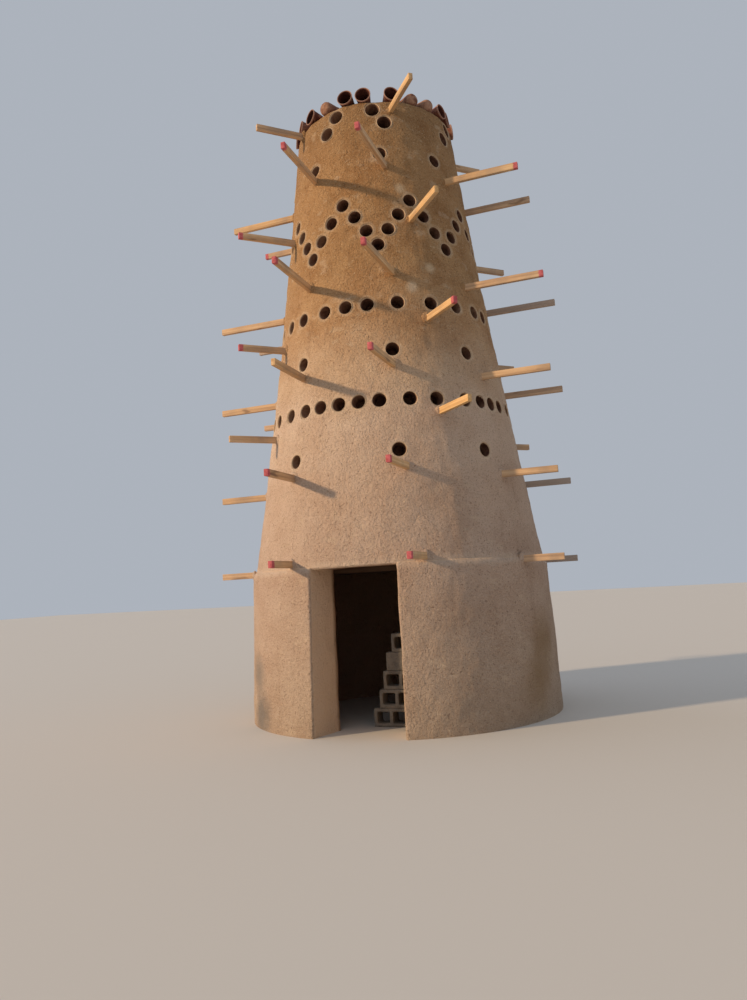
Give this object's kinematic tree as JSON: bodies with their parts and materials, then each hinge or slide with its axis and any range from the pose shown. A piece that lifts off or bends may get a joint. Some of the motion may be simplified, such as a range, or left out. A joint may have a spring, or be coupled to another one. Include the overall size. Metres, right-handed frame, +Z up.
{
  "type": "earthen pigeon tower",
  "caption": "Round tapering earthen pigeon tower, hollow, with a walk-in doorway, nest pots in the wall, timber perches through it and clay pots on its rim.",
  "frame": {"origin": "on the ground at the tower's axis", "axes": "+Z up along the tower's axis, the doorway faces -Y"},
  "size_m": [4.2, 4.2, 7.4941],
  "materials": {
    "base_plaster": "rough mud plaster",
    "shaft_plaster": "rough mud plaster",
    "timber": "sawn, weathered",
    "terracotta": "unglazed fired clay",
    "concrete_block": "rough cast"
  },
  "bodies": {
    "root": {"base_back": "base_plaster", "base_front_left": "base_plaster", "base_front_right": "base_plaster", "base_left": "base_plaster", "base_right": "base_plaster", "block_course_1": "concrete_block", "block_course_2": "concrete_block", "block_course_3": "concrete_block", "block_course_4": "concrete_block", "block_course_5": "concrete_block", "diagonal_perches_a": "timber", "diagonal_perches_b": "timber", "lift_1_back": "shaft_plaster", "lift_1_front": "shaft_plaster", "lift_1_left": "shaft_plaster", "lift_1_right": "shaft_plaster", "lift_2_back": "shaft_plaster", "lift_2_front": "shaft_plaster", "lift_2_left": "shaft_plaster", "lift_2_right": "shaft_plaster", "lift_3_back": "shaft_plaster", "lift_3_front": "shaft_plaster", "lift_3_left": "shaft_plaster", "lift_3_right": "shaft_plaster", "lift_4_back": "shaft_plaster", "lift_4_front": "shaft_plaster", "lift_4_left": "shaft_plaster", "lift_4_right": "shaft_plaster", "lift_5_back": "shaft_plaster", "lift_5_front": "shaft_plaster", "lift_5_left": "shaft_plaster", "lift_5_right": "shaft_plaster", "perches_front_back_1": "timber", "perches_front_back_2": "timber", "perches_front_back_3": "timber", "perches_front_back_4": "timber", "perches_front_back_5": "timber", "perches_left_right_1": "timber", "perches_left_right_2": "timber", "perches_left_right_3": "timber", "perches_left_right_4": "timber", "perches_left_right_5": "timber", "rim_pots_facing_in": "terracotta", "rim_pots_facing_out": "terracotta"}
  },
  "joints": []
}
